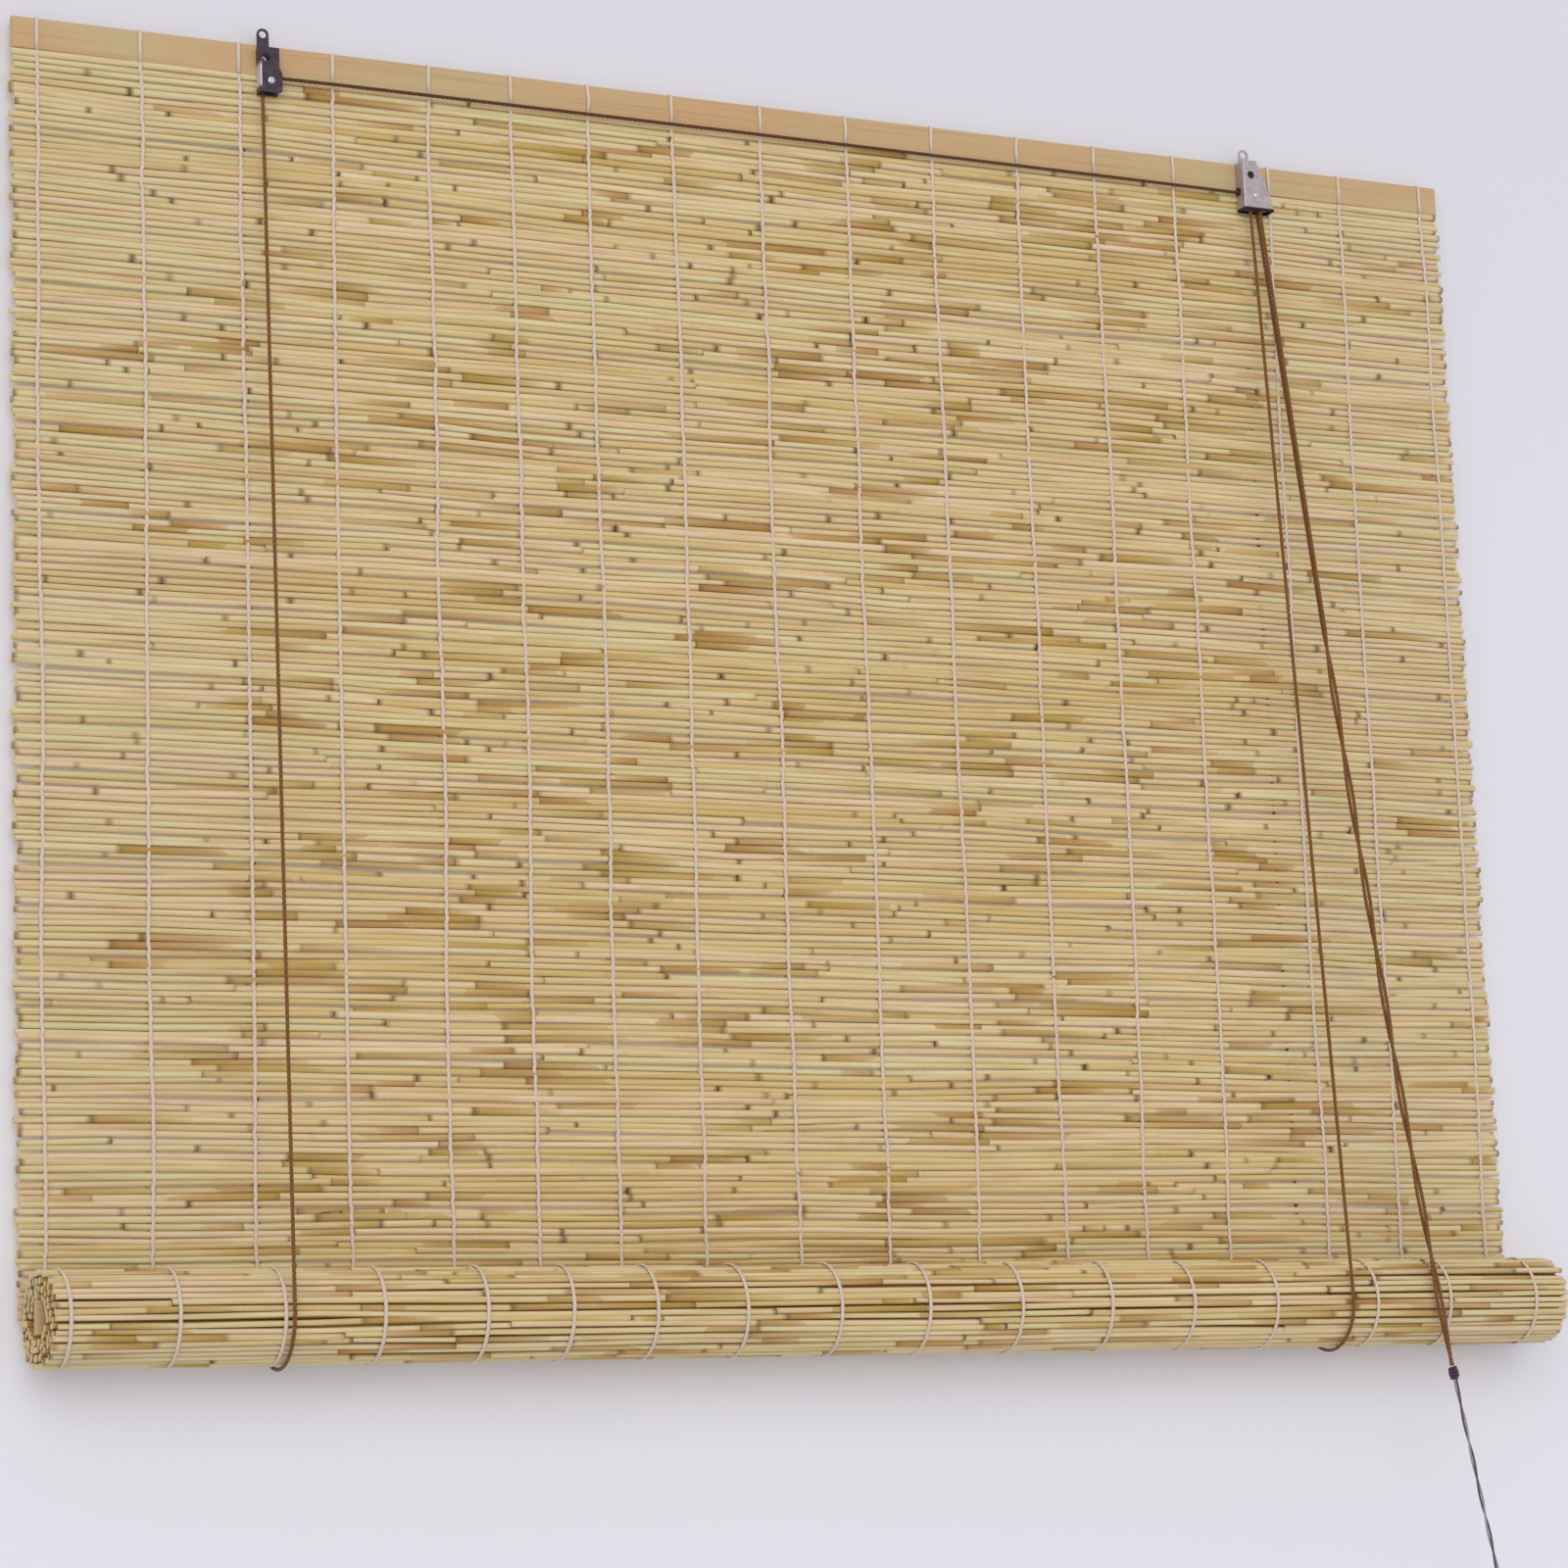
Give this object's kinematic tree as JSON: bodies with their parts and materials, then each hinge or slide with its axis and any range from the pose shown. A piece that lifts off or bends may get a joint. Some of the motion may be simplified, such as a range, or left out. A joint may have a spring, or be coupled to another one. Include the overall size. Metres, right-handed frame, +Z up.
{
  "type": "reed roll-up blind",
  "caption": "Reed mat blind on a wooden head slat, rolled up from below by two cord slings that run over a pulley and a cord lock to one pull cord.",
  "frame": {"origin": "midway between the two hang holes, in the plane of the head slat's front face", "axes": "+X to the right along the slat, +Y to the wall, +Z up; the front faces -Y"},
  "size_m": [1.213, 0.101, 1.1697],
  "materials": {
    "reed": "natural split reed, satin",
    "slat_wood": "planed, clear lacquer",
    "warp_thread": "twisted cotton",
    "cord": "braided polyester",
    "twine": "two-ply twisted",
    "dark_steel": "black satin",
    "zinc_steel": "dull zinc plate",
    "bright_steel": "plain steel",
    "nylon": "moulded"
  },
  "bodies": {
    "head": {"head_slat": "slat_wood", "reed_mat": "reed", "slat_bindings": "warp_thread", "mat_threads_front": "warp_thread", "mat_threads_back": "warp_thread", "left_housing": "dark_steel", "left_axle": "bright_steel", "lock_housing": "zinc_steel", "lock_axle": "bright_steel", "cord_eyelet": "nylon", "fixing_screws": "bright_steel", "cord_staples": "bright_steel", "head_cord": "cord", "lift_cord_turn": "cord", "left_front_cord": "cord", "right_front_cord": "cord", "left_back_cord": "cord", "right_back_cord": "cord", "pull_strand_back": "cord", "pull_strand_front": "cord", "pull_knot": "twine", "pull_twine": "twine", "twine_end_knot": "twine"},
    "cord_slings": {"left_cord_sling": "cord", "right_cord_sling": "cord"},
    "roll": {"mat_roll": "reed", "roll_threads": "warp_thread", "bottom_lath": "slat_wood"},
    "left_wheel": {"left_wheel": "nylon"},
    "lock_back_sheave": {"lock_back_sheave": "nylon"},
    "lock_front_sheave": {"lock_front_sheave": "nylon"},
    "jam_roller": {"jam_roller": "bright_steel"}
  },
  "joints": [
    {"name": "roll_rise", "type": "slide", "parent": "head", "child": "cord_slings", "axis": [0, 0, 1], "range_m": [0, 0.72], "deforming": ["reed_mat", "mat_threads_front", "mat_threads_back", "left_front_cord", "right_front_cord", "left_back_cord", "right_back_cord", "pull_strand_back", "pull_strand_front", "pull_knot", "pull_twine", "twine_end_knot"]},
    {"name": "roll_turn", "type": "hinge", "parent": "cord_slings", "child": "roll", "pos_m": [0, -0.02966, -0.924], "axis": [1, 0, 0], "continuous": true, "deforming": ["reed_mat", "mat_threads_front", "mat_threads_back", "left_front_cord", "right_front_cord", "left_back_cord", "right_back_cord", "pull_strand_back", "pull_strand_front", "pull_knot", "pull_twine", "twine_end_knot"]},
    {"name": "left_wheel_spin", "type": "hinge", "parent": "head", "child": "left_wheel", "pos_m": [-0.412, -0.00525, -0.0375], "axis": [0, 1, 0], "continuous": true},
    {"name": "back_sheave_spin", "type": "hinge", "parent": "head", "child": "lock_back_sheave", "pos_m": [0.4185, -0.0038, -0.037], "axis": [0, 1, 0], "continuous": true},
    {"name": "front_sheave_spin", "type": "hinge", "parent": "head", "child": "lock_front_sheave", "pos_m": [0.4185, -0.0087, -0.037], "axis": [0, 1, 0], "continuous": true},
    {"name": "jam_roller_slide", "type": "slide", "parent": "head", "child": "jam_roller", "axis": [0.3436, 0, -0.9391], "range_m": [0, 0.003]}
  ],
  "couplings": [
    {"joint": "roll_turn", "follows": "roll_rise", "rad_per_m": -31.24},
    {"joint": "left_wheel_spin", "follows": "roll_rise", "rad_per_m": 400},
    {"joint": "back_sheave_spin", "follows": "roll_rise", "rad_per_m": 444.44},
    {"joint": "front_sheave_spin", "follows": "roll_rise", "rad_per_m": 444.44}
  ]
}
